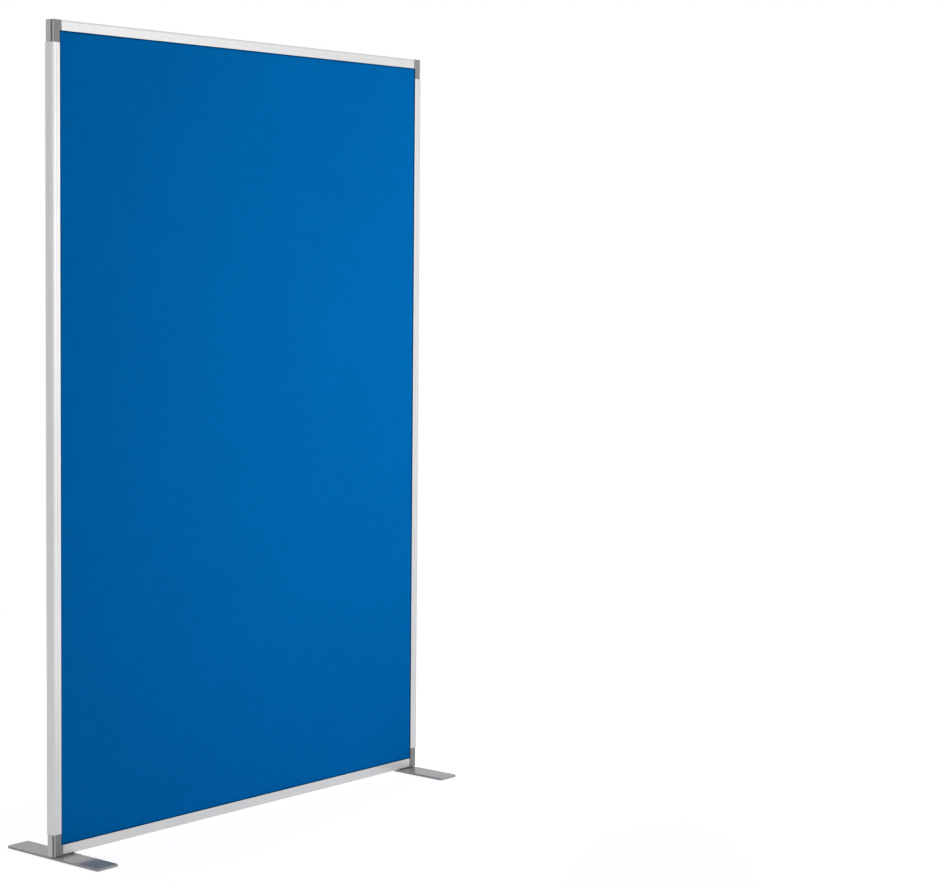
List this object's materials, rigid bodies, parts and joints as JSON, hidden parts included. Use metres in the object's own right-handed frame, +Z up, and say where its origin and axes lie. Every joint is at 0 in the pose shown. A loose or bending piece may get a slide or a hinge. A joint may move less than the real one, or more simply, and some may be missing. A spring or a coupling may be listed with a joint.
{
  "type": "acoustic divider screen",
  "caption": "Free-standing acoustic divider screen: an upright fabric-faced panel in a slim aluminium frame with grey corner pieces, on flat steel foot plates.",
  "frame": {"origin": "on the floor, under the middle of the screen", "axes": "+X along the width to the right seen from the front, +Y to the rear, +Z up; the front faces -Y"},
  "size_m": [1.2, 0.3, 1.808],
  "materials": {
    "frame_aluminium": "satin anodised",
    "connector_grey": "light grey moulded",
    "cover_grey": "satin mid grey",
    "screw_steel": "zinc plated",
    "core_board": "pressed fibre",
    "foam": "open-cell",
    "blue_fabric": "plain weave",
    "foot_steel": "satin",
    "spacer_plastic": "matt black",
    "insert_brass": "turned",
    "pad_rubber": "matt"
  },
  "bodies": {
    "root": {"left_stile": "frame_aluminium", "right_stile": "frame_aluminium", "top_rail": "frame_aluminium", "bottom_rail": "frame_aluminium", "corner_connector_bottom_left": "connector_grey", "corner_connector_bottom_right": "connector_grey", "corner_connector_top_left": "connector_grey", "corner_connector_top_right": "connector_grey", "corner_cover_front_bottom_left": "cover_grey", "corner_cover_front_bottom_right": "cover_grey", "corner_cover_front_top_left": "cover_grey", "corner_cover_front_top_right": "cover_grey", "corner_cover_rear_bottom_left": "cover_grey", "corner_cover_rear_bottom_right": "cover_grey", "corner_cover_rear_top_left": "cover_grey", "corner_cover_rear_top_right": "cover_grey", "frame_screws": "screw_steel", "acoustic_core": "core_board", "front_foam": "foam", "rear_foam": "foam", "front_fabric": "blue_fabric", "rear_fabric": "blue_fabric", "foot_plate_left": "foot_steel", "foot_plate_right": "foot_steel", "foot_spacer_left": "spacer_plastic", "foot_spacer_right": "spacer_plastic", "foot_screws_left": "screw_steel", "foot_screws_right": "screw_steel", "thread_inserts": "insert_brass", "foot_pads_left": "pad_rubber", "foot_pads_right": "pad_rubber"}
  },
  "joints": []
}
